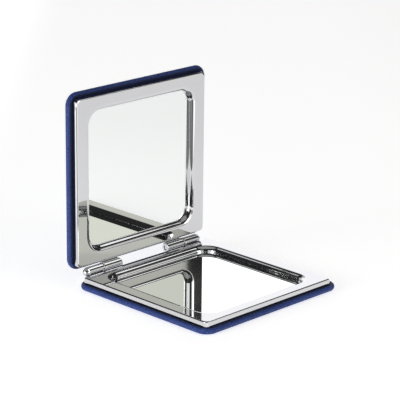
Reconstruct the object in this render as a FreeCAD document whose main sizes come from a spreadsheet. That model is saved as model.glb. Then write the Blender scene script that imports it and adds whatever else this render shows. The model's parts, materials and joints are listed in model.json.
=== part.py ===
import FreeCAD, Part
import os
import Sketcher
from FreeCAD import Placement, Rotation, Vector

# A folding pocket mirror: two square leaves joined by a pair of barrel hinges along the back edge.
# Each leaf is a plated frame with a mirror set behind its window, on a moulded shell whose outside
# is wrapped in leatherette. The leaves are alike apart from their hinge slots.
#
# Frame of the part: millimetres, X along the hinge, Y towards the hinge, Z up, with the origin on
# the face that the base rests on, under the middle of its frame. The lid stands open at a right angle.

# Driving sizes in millimetres, each with the row's meaning
SIZES = {
    "frame_width": (62.0, "plated frame, along the hinge"),
    "frame_depth": (60.2, "plated frame, from front edge to hinge edge"),
    "frame_corner": (1.6, "plan radius of the frame's outer corners"),
    "side_rail": (4.5, "flat rail beside the window, at the left and right"),
    "end_rail": (3.6, "flat rail beside the window, at the front and hinge edges"),
    "lip_round": (2.1, "roll of the frame's face down into the window"),
    "window_corner": (5.0, "plan radius of the window's corners, at the glass"),
    "sheet_thickness": (0.5, "metal that the frame is pressed from"),
    "edge_round": (0.45, "rounding of the frame's face at its outer edge"),
    "recess_depth": (2.2, "from the frame's face down to the glass"),
    "glass_thickness": (0.8, "mirror glass"),
    "glass_lap": (0.4, "glass hidden behind the window's flange, all round"),
    "glass_bevel": (0.15, "arris taken off the glass edges"),
    "tape_thickness": (0.15, "double-sided tape behind the glass"),
    "tape_inset": (2.0, "from the glass edge in to the tape"),
    "cover_overhang": (2.0, "leatherette cover past the frame, at the front and sides"),
    "hinge_overhang": (1.2, "leatherette cover past the frame, at the hinge edge"),
    "cover_thickness": (2.2, "wrapped shell, below the visible metal"),
    "cover_corner": (4.5, "plan radius of the cover's corners"),
    "cover_edge": (1.05, "rounding of the cover's upper and lower edges"),
    "edge_flat": (0.1, "upright left beside the roundings of the cover and the window"),
    "skin_thickness": (0.4, "leatherette"),
    "floor_thickness": (0.45, "floor of the moulded shell"),
    "rim_ledge": (1.2, "shell rim inside the frame's wall, which carries the spacer"),
    "cavity_corner": (3.0, "plan radius of the shell's cavity"),
    "fit_gap": (0.1, "assembly clearance between fitted pieces"),
    "glue_gap": (0.03, "glue line between the leatherette and the shell's side"),
    "tab_width": (4.0, "frame tabs that plug into the shell's rim"),
    "tab_length": (0.7, "reach of the tabs into the rim"),
    "tab_inset": (12.6, "middles of the tabs from the frame's corners"),
    "magnet_length": (10.0, "closing magnets in the front rail"),
    "magnet_height": (1.0, "closing magnets, across the leaf"),
    "magnet_wall": (0.5, "spacer wall on each side of a magnet"),
    "magnet_inset": (17.0, "middles of the magnets from the frame's sides"),
    "closed_gap": (0.3, "between the two faces when the lid is shut"),
    "hinge_standoff": (2.2, "hinge axis behind the frames' back edges"),
    "hinge_inset": (2.6, "outer end of each hinge from the frame's side"),
    "barrel_radius": (1.75, "hinge knuckles"),
    "barrel_round": (0.25, "rounding of the knuckles' ends"),
    "lid_knuckle_length": (8.2, "inner knuckle, on the lid"),
    "base_knuckle_length": (6.9, "outer knuckle, on the base"),
    "washer_thickness": (0.4, "ring between the two knuckles"),
    "washer_proud": (0.12, "ring past the knuckles' surface"),
    "end_gap": (0.05, "play on each side of the ring"),
    "tail_thickness": (0.8, "leaf of a knuckle, under the frame's face"),
    "tail_inset": (0.4, "tail shorter than its knuckle at each end"),
    "tail_wall": (0.3, "spacer left in front of a tail's end"),
    "pin_radius": (0.8, "hinge pin"),
    "pin_clearance": (0.05, "running clearance of the lid knuckle on its pin"),
    "pin_seat_gap": (0.01, "clearance of the tight base knuckle on its pin"),
    "pin_head_radius": (1.5, "domed pin head"),
    "pin_head_height": (1.5, "domed pin head"),
    "pin_recess": (0.3, "pin end inside the lid knuckle's open end"),
}


def size(name):
    """Expression for one cell of the sheet."""
    return "sizes." + name


def add(*terms):
    """Expression for a sum of expressions."""
    return "(" + " + ".join(terms) + ")"


def less(first, *others):
    """Expression for a difference of expressions."""
    return "(" + " - ".join((first,) + others) + ")"


def even(margin):
    """The same margin at the sides, the front and the hinge edge."""
    return (margin, margin, margin)


def wider(margins, amount):
    """Margins moved outwards by an amount."""
    return tuple(add(margin, amount) for margin in margins)


def narrower(margins, amount):
    """Margins moved inwards by an amount."""
    return tuple(less(margin, amount) for margin in margins)


# Heights in a leaf, from the outside of its cover up to the frame's face
RIM_TOP = less(size("cover_thickness"), size("skin_thickness"))
FLOOR_TOP = add(size("skin_thickness"), size("floor_thickness"))
GLASS_LOW = add(FLOOR_TOP, size("tape_thickness"))
GLASS_TOP = add(GLASS_LOW, size("glass_thickness"))
FACE = add(GLASS_TOP, size("recess_depth"))
SHEET_LOW = less(FACE, size("sheet_thickness"))
TAIL_LOW = less(SHEET_LOW, size("tail_thickness"))

# Margins of the leaf's outlines, counted outwards from the frame's edge: sides, front, hinge edge
FRAME = even("0 * " + size("frame_width"))
FRAME_INSIDE = narrower(FRAME, size("sheet_thickness"))
SPACER_OUTSIDE = narrower(FRAME_INSIDE, size("fit_gap"))
CAVITY = narrower(FRAME_INSIDE, size("rim_ledge"))
RAIL = tuple("(-%s)" % size(rail) for rail in ("side_rail", "end_rail", "end_rail"))
SPACER_TOP_INSIDE = wider(RAIL, size("fit_gap"))
WINDOW = narrower(RAIL, size("lip_round"))
FLANGE_OUTSIDE = wider(WINDOW, size("sheet_thickness"))
GLASS = wider(FLANGE_OUTSIDE, size("glass_lap"))
SPACER_INSIDE = wider(GLASS, size("fit_gap"))
COVER = (size("cover_overhang"), size("cover_overhang"), size("hinge_overhang"))
CORE = narrower(COVER, size("skin_thickness"))
SHELL = narrower(CORE, size("glue_gap"))

# Corner radii that follow from their neighbours
FRAME_INSIDE_CORNER = less(size("frame_corner"), size("sheet_thickness"))
FLANGE_CORNER = add(size("window_corner"), size("sheet_thickness"))
GLASS_CORNER = add(FLANGE_CORNER, size("glass_lap"))
SPACER_TOP_CORNER = add(size("window_corner"), size("lip_round"), size("fit_gap"))
CORE_CORNER = less(size("cover_corner"), size("skin_thickness"))
SHELL_CORNER = less(CORE_CORNER, size("glue_gap"))

# The cover's rounding is limited by its own thickness and by the ledge beside the frame
COVER_ROUND = "min(%s; %s; %s; %s / 2)" % (
    size("cover_edge"),
    less(size("cover_overhang"), size("fit_gap")),
    less(size("hinge_overhang"), size("fit_gap")),
    less(size("cover_thickness"), size("edge_flat")),
)
SHELL_ROUND = less(COVER_ROUND, size("skin_thickness"))

# The window's roll leaves a little upright at the glass, and the sheet keeps its thickness round it
LIP_ROUND = "min(%s; %s)" % (size("lip_round"), less(size("recess_depth"), size("edge_flat")))
LIP_INSIDE = less(LIP_ROUND, size("sheet_thickness"))

# Hinge axis, and the stretches that the hinge pieces take up along it from the leaf's middle
AXIS_Y = add(size("frame_depth") + " / 2", size("hinge_standoff"))
AXIS_Z = add(FACE, size("closed_gap") + " / 2")
SIDE_EDGE = size("frame_width") + " / 2"
BASE_KNUCKLE_END = less(SIDE_EDGE, size("hinge_inset"), size("pin_head_height"))
BASE_KNUCKLE_START = less(BASE_KNUCKLE_END, size("base_knuckle_length"))
WASHER_START = less(BASE_KNUCKLE_START, size("end_gap"), size("washer_thickness"))
LID_KNUCKLE_END = less(WASHER_START, size("end_gap"))
LID_KNUCKLE_START = less(LID_KNUCKLE_END, size("lid_knuckle_length"))
PIN_END = add(LID_KNUCKLE_START, size("pin_recess"))
KNUCKLES = {
    "base": (BASE_KNUCKLE_START, size("base_knuckle_length"), size("pin_seat_gap")),
    "lid": (LID_KNUCKLE_START, size("lid_knuckle_length"), size("pin_clearance")),
}
SIDES = {"left": -1, "right": 1}

# Tail of a knuckle: from inside the spacer back to the hinge axis
BACK_EDGE = size("frame_depth") + " / 2"
TAIL_END = add(BACK_EDGE, SPACER_TOP_INSIDE[2], size("tail_wall"))

# Magnets sit midway across the spacer in the front rail
MAGNET_WIDTH = less(SPACER_OUTSIDE[1], SPACER_TOP_INSIDE[1], "2 * " + size("magnet_wall"))
MAGNET_FRONT = less("(-%s)" % BACK_EDGE, SPACER_OUTSIDE[1], "(-%s)" % size("magnet_wall"))

START_SIZE = 1.0

doc = FreeCAD.newDocument("compact_mirror")
sheet = doc.addObject("Spreadsheet::Sheet", "sizes")
for row, (alias, (value, meaning)) in enumerate(SIZES.items(), start=1):
    sheet.set("A%d" % row, meaning)
    sheet.set("B%d" % row, str(value))
    sheet.setAlias("B%d" % row, alias)
doc.recompute()


def new_body(label):
    """Empty body with its own label."""
    body = doc.addObject("PartDesign::Body", label)
    body.Label = label
    return body


def new_sketch(body, role, level):
    """Sketch on an origin plane of the body, moved along that plane's normal."""
    plane = next(item for item in body.Origin.OriginFeatures if item.Role == role)
    sketch = body.newObject("Sketcher::SketchObject", "outline")
    sketch.AttachmentSupport = [(plane, "")]
    sketch.MapMode = "FlatFace"
    sketch.setExpression("AttachmentOffset.Base.z", level)
    return sketch


def bind(sketch, expression, *constraint):
    """Add a dimension to a sketch and tie it to an expression."""
    index = sketch.addConstraint(Sketcher.Constraint(*constraint))
    sketch.setExpression("Constraints[%d]" % index, expression)


def draw_outline(sketch, margins, corner):
    """Rounded rectangle: the frame's outline moved outwards at the sides, the front and the back."""
    sides, front, back = margins
    if back != front:
        sketch.setExpression("AttachmentOffset.Base.y", less(back, front) + " / 2")
    half_x = SIZES["frame_width"][0] / 2
    half_y = SIZES["frame_depth"][0] / 2
    radius = SIZES["frame_corner"][0]
    centres = [
        Vector(side_x * (half_x - radius), side_y * (half_y - radius), 0)
        for side_x, side_y in ((1, -1), (1, 1), (-1, 1), (-1, -1))
    ]
    directions = (Vector(1, 0, 0), Vector(0, 1, 0), Vector(-1, 0, 0), Vector(0, -1, 0))
    up = Vector(0, 0, 1)
    first = sketch.GeometryCount
    for turn, centre in enumerate(centres):
        circle = Part.Circle(centre, up, radius)
        start = circle.parameter(centre + directions[turn - 1] * radius)
        end = circle.parameter(centre + directions[turn] * radius)
        sketch.addGeometry(Part.ArcOfCircle(circle, start, end), False)
    for turn, direction in enumerate(directions):
        reach = direction * radius
        line = Part.LineSegment(centres[turn] + reach, centres[(turn + 1) % 4] + reach)
        sketch.addGeometry(line, False)
    arcs = [first + turn for turn in range(4)]
    lines = [first + 4 + turn for turn in range(4)]
    for turn in range(4):
        following = arcs[(turn + 1) % 4]
        sketch.addConstraint(Sketcher.Constraint("Tangent", arcs[turn], 2, lines[turn], 1))
        sketch.addConstraint(Sketcher.Constraint("Tangent", lines[turn], 2, following, 1))
        run = "Vertical" if turn % 2 == 0 else "Horizontal"
        sketch.addConstraint(Sketcher.Constraint(run, lines[turn]))
    for arc in arcs[1:]:
        sketch.addConstraint(Sketcher.Constraint("Equal", arcs[0], arc))
    sketch.addConstraint(Sketcher.Constraint("Symmetric", arcs[0], 3, arcs[2], 3, -1, 1))
    right, top, left, bottom = lines
    width = add(size("frame_width"), "2 * " + sides)
    depth = add(size("frame_depth"), front, back)
    bind(sketch, width, "DistanceX", left, 1, right, 1, 2 * half_x)
    bind(sketch, depth, "DistanceY", bottom, 1, top, 1, 2 * half_y)
    bind(sketch, corner, "Radius", arcs[0], radius)


def draw_rectangle(sketch, low_x, low_y, size_x, size_y):
    """Rectangle given by its lower left corner and its two sizes."""
    corners = [
        Vector(x * START_SIZE, y * START_SIZE, 0) for x, y in ((0, 0), (1, 0), (1, 1), (0, 1))
    ]
    first = sketch.GeometryCount
    for turn in range(4):
        line = Part.LineSegment(corners[turn], corners[(turn + 1) % 4])
        sketch.addGeometry(line, False)
    for turn in range(4):
        line = first + turn
        following = first + (turn + 1) % 4
        sketch.addConstraint(Sketcher.Constraint("Coincident", line, 2, following, 1))
        run = "Horizontal" if turn % 2 == 0 else "Vertical"
        sketch.addConstraint(Sketcher.Constraint(run, line))
    bind(sketch, low_x, "DistanceX", -1, 1, first, 1, START_SIZE)
    bind(sketch, low_y, "DistanceY", -1, 1, first, 1, START_SIZE)
    bind(sketch, size_x, "DistanceX", first, 1, first, 2, START_SIZE)
    bind(sketch, size_y, "DistanceY", first + 1, 1, first + 1, 2, START_SIZE)


def draw_circle(sketch, centre_x, centre_y, radius):
    """Circle given by its centre and radius."""
    circle = sketch.addGeometry(Part.Circle(Vector(), Vector(0, 0, 1), START_SIZE), False)
    bind(sketch, centre_x, "DistanceX", -1, 1, circle, 3, START_SIZE)
    bind(sketch, centre_y, "DistanceY", -1, 1, circle, 3, START_SIZE)
    bind(sketch, radius, "Radius", circle, START_SIZE)


def pad(body, sketch, length, downwards=False):
    """Material added along the sketch's normal, or against it."""
    feature = body.newObject("PartDesign::Pad", "pad")
    feature.Profile = sketch
    feature.setExpression("Length", length)
    feature.Reversed = downwards
    doc.recompute()
    return feature


def pocket(body, sketch, length, upwards=False):
    """Material cut away against the sketch's normal, or along it, with proof that it cut."""
    before = body.Shape.Volume
    feature = body.newObject("PartDesign::Pocket", "pocket")
    feature.Profile = sketch
    feature.setExpression("Length", length)
    feature.Reversed = upwards
    doc.recompute()
    if body.Shape.Volume >= before:
        raise RuntimeError("a pocket cut nothing in " + body.Label)
    return feature


def ring(body, level, length, outside, inside):
    """Pad between two outlines, each given as its margins and a corner radius."""
    sketch = new_sketch(body, "XY_Plane", level)
    draw_outline(sketch, *outside)
    draw_outline(sketch, *inside)
    return pad(body, sketch, length)


def plate(body, level, length, margins, corner):
    """Pad of one outline."""
    sketch = new_sketch(body, "XY_Plane", level)
    draw_outline(sketch, margins, corner)
    return pad(body, sketch, length)


def flat_edges(shape, level):
    """Names of the edges that lie flat at a height."""
    return [
        "Edge%d" % number
        for number, edge in enumerate(shape.Edges, start=1)
        if abs(edge.BoundBox.ZMin - level) < 1e-4 and abs(edge.BoundBox.ZMax - level) < 1e-4
    ]


def window_edges(shape, level):
    """Names of the edges at a height that run round the window, inside the rails."""
    reach_x = (SIZES["frame_width"][0] - SIZES["side_rail"][0]) / 2
    reach_y = (SIZES["frame_depth"][0] - SIZES["end_rail"][0]) / 2
    names = []
    for name in flat_edges(shape, level):
        box = shape.getElement(name).BoundBox
        if max(-box.XMin, box.XMax) < reach_x and max(-box.YMin, box.YMax) < reach_y:
            names.append(name)
    return names


def dress(body, kind, edges, field, amount):
    """Fillet or chamfer on named edges of the body's last feature."""
    base = body.Tip
    feature = body.newObject("PartDesign::" + kind, kind.lower())
    feature.Base = (base, edges)
    feature.setExpression(field, amount)
    doc.recompute()
    return feature


def round_top_and_bottom(body, amount):
    """Round the edges around the body's highest and lowest faces."""
    box = body.Shape.BoundBox
    edges = flat_edges(body.Shape, box.ZMin) + flat_edges(body.Shape, box.ZMax)
    dress(body, "Fillet", edges, "Radius", amount)


def seat(item, leaf):
    """Place a piece that was drawn in its leaf's own axes: the lid stands open on the hinge."""
    if leaf == "lid":
        item.Placement = Placement(Vector(), Rotation(Vector(0, 1, -1), 180))
        item.setExpression("Placement.Base.y", add(AXIS_Y, AXIS_Z))
        item.setExpression("Placement.Base.z", add(AXIS_Y, AXIS_Z))


def stretch(side, start, length):
    """Low end along X of something that starts a distance from the middle, on either side."""
    return start if side > 0 else "(-%s)" % add(start, length)


def tail_stretch(leaf, side):
    """Low end and length along X of a knuckle's tail, in its leaf's own axes."""
    start, length, _ = KNUCKLES[leaf]
    tail_start = add(start, size("tail_inset"))
    tail_length = less(length, "2 * " + size("tail_inset"))
    return stretch(side, tail_start, tail_length), tail_length


def tab_corners(thickness, widening):
    """Corner and sizes of each frame tab, seen from above, grown all round by a widening."""
    long_side = add(size("tab_width"), "2 * " + widening)
    short_side = add(thickness, "2 * " + widening)
    rectangles = []
    for side in SIDES.values():
        beside = less("%d * %s" % (side, less(SIDE_EDGE, size("tab_inset"))), long_side + " / 2")
        along = less("%d * %s" % (side, less(BACK_EDGE, size("tab_inset"))), long_side + " / 2")
        left = less("(-%s)" % SIDE_EDGE, widening)
        right = less(SIDE_EDGE, thickness, widening)
        front = less("(-%s)" % BACK_EDGE, widening)
        rectangles.append((left, along, short_side, long_side))
        rectangles.append((right, along, short_side, long_side))
        rectangles.append((beside, front, long_side, short_side))
    return rectangles


def make_frame(leaf):
    """Pressed frame: face sheet, outer wall, rolled window lip, tabs below and slots for two tails."""
    body = new_body(leaf + "_frame")
    outside = (FRAME, size("frame_corner"))
    window = (WINDOW, size("window_corner"))
    ring(body, SHEET_LOW, size("sheet_thickness"), outside, window)
    ring(body, RIM_TOP, less(FACE, RIM_TOP), outside, (FRAME_INSIDE, FRAME_INSIDE_CORNER))
    ring(body, GLASS_TOP, size("recess_depth"), (FLANGE_OUTSIDE, FLANGE_CORNER), window)
    face = body.Shape.BoundBox.ZMax
    under = face - SIZES["sheet_thickness"][0]
    dress(body, "Fillet", window_edges(body.Shape, under), "Radius", LIP_INSIDE)
    outer_edges = set(flat_edges(body.Shape, face)) - set(window_edges(body.Shape, face))
    dress(body, "Fillet", sorted(outer_edges), "Radius", size("edge_round"))
    dress(body, "Fillet", window_edges(body.Shape, face), "Radius", LIP_ROUND)
    sketch = new_sketch(body, "XY_Plane", RIM_TOP)
    for rectangle in tab_corners(size("sheet_thickness"), "0 * " + size("fit_gap")):
        draw_rectangle(sketch, *rectangle)
    pad(body, sketch, size("tab_length"), downwards=True)
    sketch = new_sketch(body, "XZ_Plane", "(-%s)" % BACK_EDGE)
    for side in SIDES.values():
        low, length = tail_stretch(leaf, side)
        draw_rectangle(
            sketch,
            less(low, size("fit_gap")),
            less(TAIL_LOW, size("fit_gap")),
            add(length, "2 * " + size("fit_gap")),
            add(size("tail_thickness"), size("fit_gap")),
        )
    pocket(body, sketch, size("sheet_thickness"), upwards=True)
    seat(body, leaf)
    return body


def make_mirror(leaf):
    """Mirror glass, with its sharp edges taken off."""
    body = new_body(leaf + "_mirror")
    plate(body, GLASS_LOW, size("glass_thickness"), GLASS, GLASS_CORNER)
    box = body.Shape.BoundBox
    edges = flat_edges(body.Shape, box.ZMin) + flat_edges(body.Shape, box.ZMax)
    dress(body, "Chamfer", edges, "Size", size("glass_bevel"))
    seat(body, leaf)
    return body


def make_tape(leaf):
    """Double-sided tape that holds the glass to the shell's floor."""
    body = new_body(leaf + "_mirror_tape")
    margins = narrower(GLASS, size("tape_inset"))
    plate(body, FLOOR_TOP, size("tape_thickness"), margins, less(GLASS_CORNER, size("tape_inset")))
    seat(body, leaf)
    return body


def make_spacer(leaf):
    """Stepped ring round the glass that backs the frame's face, pocketed for magnets and tails."""
    body = new_body(leaf + "_spacer")
    inside = (SPACER_INSIDE, add(GLASS_CORNER, size("fit_gap")))
    lower = (narrower(CAVITY, size("fit_gap")), less(size("cavity_corner"), size("fit_gap")))
    upper = (SPACER_OUTSIDE, less(FRAME_INSIDE_CORNER, size("fit_gap")))
    ring(body, FLOOR_TOP, less(RIM_TOP, FLOOR_TOP), lower, inside)
    ring(body, RIM_TOP, less(SHEET_LOW, RIM_TOP), upper, (SPACER_TOP_INSIDE, SPACER_TOP_CORNER))
    sketch = new_sketch(body, "XY_Plane", SHEET_LOW)
    for side in SIDES.values():
        low, length = tail_stretch(leaf, side)
        draw_rectangle(
            sketch,
            less(low, size("fit_gap")),
            less(TAIL_END, size("fit_gap")),
            add(length, "2 * " + size("fit_gap")),
            size("end_rail"),
        )
    pocket(body, sketch, add(size("tail_thickness"), size("fit_gap")))
    sketch = new_sketch(body, "XY_Plane", SHEET_LOW)
    for side in SIDES.values():
        draw_rectangle(sketch, *magnet_corner(side, size("fit_gap") + " / 2"))
    pocket(body, sketch, size("magnet_height"))
    seat(body, leaf)
    return body


def magnet_corner(side, widening):
    """Corner and sizes of a magnet seen from above, grown all round by a widening."""
    length = add(size("magnet_length"), "2 * " + widening)
    low = less("%d * %s" % (side, less(SIDE_EDGE, size("magnet_inset"))), length + " / 2")
    return low, less(MAGNET_FRONT, widening), length, add(MAGNET_WIDTH, "2 * " + widening)


def make_magnet(leaf, side_name):
    """Bar magnet in the front rail, against the underside of the frame's face."""
    side = SIDES[side_name] if leaf == "base" else -SIDES[side_name]
    body = new_body("%s_%s_magnet" % (leaf, side_name))
    sketch = new_sketch(body, "XY_Plane", SHEET_LOW)
    draw_rectangle(sketch, *magnet_corner(side, "0 * " + size("fit_gap")))
    pad(body, sketch, size("magnet_height"), downwards=True)
    seat(body, leaf)
    return body


def make_shell(leaf):
    """Moulded tray: rounded rim, cavity for the glass and slots for the frame's tabs."""
    body = new_body(leaf + "_shell")
    height = less(RIM_TOP, size("skin_thickness"))
    plate(body, size("skin_thickness"), height, SHELL, SHELL_CORNER)
    round_top_and_bottom(body, SHELL_ROUND)
    sketch = new_sketch(body, "XY_Plane", RIM_TOP)
    draw_outline(sketch, CAVITY, size("cavity_corner"))
    pocket(body, sketch, less(RIM_TOP, FLOOR_TOP))
    sketch = new_sketch(body, "XY_Plane", RIM_TOP)
    for rectangle in tab_corners(size("sheet_thickness"), size("fit_gap") + " / 2"):
        draw_rectangle(sketch, *rectangle)
    pocket(body, sketch, add(size("tab_length"), size("fit_gap")))
    seat(body, leaf)
    return body


def make_cover(leaf):
    """Leatherette skin: a rounded block, less the space of the shell and an opening for the frame."""
    block = new_body(leaf + "_cover_block")
    height = size("cover_thickness")
    plate(block, "0 * " + height, height, COVER, size("cover_corner"))
    round_top_and_bottom(block, COVER_ROUND)
    core = new_body(leaf + "_cover_core")
    core_height = less(RIM_TOP, size("skin_thickness"))
    plate(core, size("skin_thickness"), core_height, CORE, CORE_CORNER)
    round_top_and_bottom(core, SHELL_ROUND)
    opening_corner = add(size("frame_corner"), size("fit_gap"))
    plate(core, RIM_TOP, "2 * " + size("skin_thickness"), even(size("fit_gap")), opening_corner)
    seat(block, leaf)
    seat(core, leaf)
    cover = doc.addObject("Part::Cut", leaf + "_cover")
    cover.Label = leaf + "_cover"
    cover.Base = block
    cover.Tool = core
    cover.Refine = True
    doc.recompute()
    return cover


def make_knuckle(leaf, side_name):
    """Hinge knuckle: a barrel on the hinge axis with a flat tail that runs into the frame."""
    side = SIDES[side_name] if leaf == "base" else -SIDES[side_name]
    body = new_body("%s_hinge_%s_knuckle" % (side_name, leaf))
    start, length, clearance = KNUCKLES[leaf]
    low = stretch(side, start, length)
    sketch = new_sketch(body, "YZ_Plane", low)
    draw_circle(sketch, AXIS_Y, AXIS_Z, size("barrel_radius"))
    pad(body, sketch, length)
    radius = SIZES["barrel_radius"][0]
    rims = [
        "Edge%d" % number
        for number, edge in enumerate(body.Shape.Edges, start=1)
        if isinstance(edge.Curve, Part.Circle) and abs(edge.Curve.Radius - radius) < 1e-4
    ]
    dress(body, "Fillet", rims, "Radius", size("barrel_round"))
    tail_low, tail_length = tail_stretch(leaf, side)
    sketch = new_sketch(body, "YZ_Plane", tail_low)
    draw_rectangle(sketch, TAIL_END, TAIL_LOW, less(AXIS_Y, TAIL_END), size("tail_thickness"))
    pad(body, sketch, tail_length)
    sketch = new_sketch(body, "YZ_Plane", low)
    draw_circle(sketch, AXIS_Y, AXIS_Z, add(size("pin_radius"), clearance))
    pocket(body, sketch, length, upwards=True)
    seat(body, leaf)
    return body


def make_washer(side_name):
    """Bright ring between the two knuckles of a hinge."""
    body = new_body(side_name + "_hinge_washer")
    low = stretch(SIDES[side_name], WASHER_START, size("washer_thickness"))
    sketch = new_sketch(body, "YZ_Plane", low)
    draw_circle(sketch, AXIS_Y, AXIS_Z, add(size("barrel_radius"), size("washer_proud")))
    draw_circle(sketch, AXIS_Y, AXIS_Z, add(size("pin_radius"), size("pin_clearance")))
    pad(body, sketch, size("washer_thickness"))
    return body


def make_pin(side_name):
    """Hinge pin turned about its own axis: a straight shank with a domed head at its outer end."""
    body = new_body(side_name + "_hinge_pin")
    sketch = new_sketch(body, "XY_Plane", "0 * " + size("pin_radius"))
    shank_start = START_SIZE
    head_start = shank_start + SIZES["lid_knuckle_length"][0] + SIZES["base_knuckle_length"][0]
    tip = head_start + SIZES["pin_head_height"][0]
    shank = SIZES["pin_radius"][0]
    head = SIZES["pin_head_radius"][0]
    points = [
        Vector(shank_start, 0, 0),
        Vector(shank_start, shank, 0),
        Vector(head_start, shank, 0),
        Vector(head_start, head, 0),
        Vector(tip, 0, 0),
    ]
    for start, end in zip(points[:3], points[1:4]):
        sketch.addGeometry(Part.LineSegment(start, end), False)
    middle = Vector(head_start + head * 0.7, head * 0.7, 0)
    sketch.addGeometry(Part.Arc(points[3], middle, points[4]), False)
    sketch.addGeometry(Part.LineSegment(points[4], points[0]), False)
    end_line, shank_line, head_line, dome, axis_line = range(5)
    sketch.addConstraint(Sketcher.Constraint("Coincident", end_line, 2, shank_line, 1))
    sketch.addConstraint(Sketcher.Constraint("Coincident", shank_line, 2, head_line, 1))
    sketch.addConstraint(Sketcher.Constraint("Coincident", head_line, 2, dome, 2))
    sketch.addConstraint(Sketcher.Constraint("Coincident", dome, 1, axis_line, 1))
    sketch.addConstraint(Sketcher.Constraint("Coincident", axis_line, 2, end_line, 1))
    sketch.addConstraint(Sketcher.Constraint("Vertical", end_line))
    sketch.addConstraint(Sketcher.Constraint("Horizontal", shank_line))
    sketch.addConstraint(Sketcher.Constraint("Vertical", head_line))
    sketch.addConstraint(Sketcher.Constraint("PointOnObject", dome, 3, -1))
    sketch.addConstraint(Sketcher.Constraint("PointOnObject", dome, 1, -1))
    sketch.addConstraint(Sketcher.Constraint("PointOnObject", end_line, 1, -1))
    bind(sketch, PIN_END, "DistanceX", -1, 1, end_line, 1, shank_start)
    bind(sketch, size("pin_radius"), "DistanceY", end_line, 1, end_line, 2, shank)
    bind(sketch, BASE_KNUCKLE_END, "DistanceX", -1, 1, head_line, 1, head_start)
    bind(sketch, size("pin_head_radius"), "DistanceY", -1, 1, head_line, 2, head)
    bind(sketch, size("pin_head_height"), "DistanceX", head_line, 2, dome, 1, tip - head_start)
    turned = body.newObject("PartDesign::Revolution", "turned")
    turned.Profile = sketch
    turned.ReferenceAxis = (sketch, ["H_Axis"])
    turned.Angle = 360.0
    if side_name == "left":
        body.Placement = Placement(Vector(), Rotation(Vector(0, 0, 1), 180))
    body.setExpression("Placement.Base.y", AXIS_Y)
    body.setExpression("Placement.Base.z", AXIS_Z)
    doc.recompute()
    return body


pieces = []
for leaf_name in ("base", "lid"):
    for make in (make_frame, make_mirror, make_tape, make_spacer, make_shell, make_cover):
        pieces.append(make(leaf_name))
    for side_name in SIDES:
        pieces.append(make_magnet(leaf_name, side_name))
        pieces.append(make_knuckle(leaf_name, side_name))
for side_name in SIDES:
    pieces.append(make_washer(side_name))
    pieces.append(make_pin(side_name))
doc.recompute()

for item in doc.Objects:
    if "Invalid" in item.State or "Error" in item.State:
        raise RuntimeError("%s did not compute: %s" % (item.Label, item.State))
for piece in pieces:
    if piece.Shape.isNull() or not piece.Shape.isValid():
        raise RuntimeError("no valid shape for " + piece.Label)
    if len(piece.Shape.Solids) != 1:
        raise RuntimeError("%s is not one solid" % piece.Label)

os.makedirs("parts", exist_ok=True)
for piece in pieces:
    piece.Shape.exportStep("parts/%s.step" % piece.Label)
    print("%-28s %9.3f mm3" % (piece.Label, piece.Shape.Volume))
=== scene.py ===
import json
import math

import bpy
import numpy as np
from mathutils import Matrix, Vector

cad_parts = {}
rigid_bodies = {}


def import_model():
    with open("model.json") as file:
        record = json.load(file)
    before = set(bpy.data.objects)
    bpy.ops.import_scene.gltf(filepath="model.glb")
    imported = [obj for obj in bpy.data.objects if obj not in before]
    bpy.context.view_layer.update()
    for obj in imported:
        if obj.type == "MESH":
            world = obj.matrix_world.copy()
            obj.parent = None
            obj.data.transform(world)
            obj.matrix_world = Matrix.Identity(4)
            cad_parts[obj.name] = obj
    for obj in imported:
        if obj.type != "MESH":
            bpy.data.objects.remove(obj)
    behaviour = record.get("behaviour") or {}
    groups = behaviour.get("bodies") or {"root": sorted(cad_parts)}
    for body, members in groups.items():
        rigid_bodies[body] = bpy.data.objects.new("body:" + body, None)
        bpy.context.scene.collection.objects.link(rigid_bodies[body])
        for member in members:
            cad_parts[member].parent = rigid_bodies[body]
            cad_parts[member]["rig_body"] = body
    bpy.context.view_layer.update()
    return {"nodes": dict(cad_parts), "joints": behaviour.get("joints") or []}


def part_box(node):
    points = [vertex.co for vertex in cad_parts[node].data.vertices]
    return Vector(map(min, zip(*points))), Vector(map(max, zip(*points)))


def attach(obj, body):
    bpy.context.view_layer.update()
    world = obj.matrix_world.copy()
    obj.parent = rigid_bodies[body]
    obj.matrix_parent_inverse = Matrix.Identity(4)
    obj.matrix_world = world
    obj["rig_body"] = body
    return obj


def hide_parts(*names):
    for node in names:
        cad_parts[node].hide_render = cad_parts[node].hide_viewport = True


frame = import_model()

bl_info = {
    "name": "Folding pocket mirror",
    "version": (1, 0, 0),
    "blender": (4, 5, 0),
    "location": "3D View > Sidebar > Pocket mirror",
    "description": "Smooth surfaces and finishes for a folding pocket mirror on its CAD frame",
    "category": "Object",
}

MM = 0.001

# Sizes that the CAD frame gives: the base lies in its own axes, the lid is turned about the hinge
FRAME_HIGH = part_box("base_frame")[1]
COVER_LOW, COVER_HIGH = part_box("base_cover")
GLASS_LOW, GLASS_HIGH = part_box("base_mirror")
AXIS_Y, AXIS_Z = frame["joints"][0]["pos_m"][1:]
LEAVES = ("base", "lid")
SIDES = {"left": -1, "right": 1}

# Steps of the grids: along a quarter turn, a straight run, a rounded edge and a full turn
CORNER_STEPS = 16
RUN_STEPS = 12
EDGE_STEPS = 16
TURN_STEPS = 72

# A row this far from a rounding keeps the flat beside it flat when it is shaded smooth
HOLD = 0.03 * MM
# The same for the wide flat of the frame's face, beside its lip
FACE_HOLD = 10 * HOLD

# A knuckle tail's plan corners, and how far in from its sides its flat faces start, both counted in
# roundings of its sheared edges
TAIL_CORNER, TAIL_FLAT = 3, 2
# Rounding of the rings between the knuckles, counted the same way
RING_EDGE = 2

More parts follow.
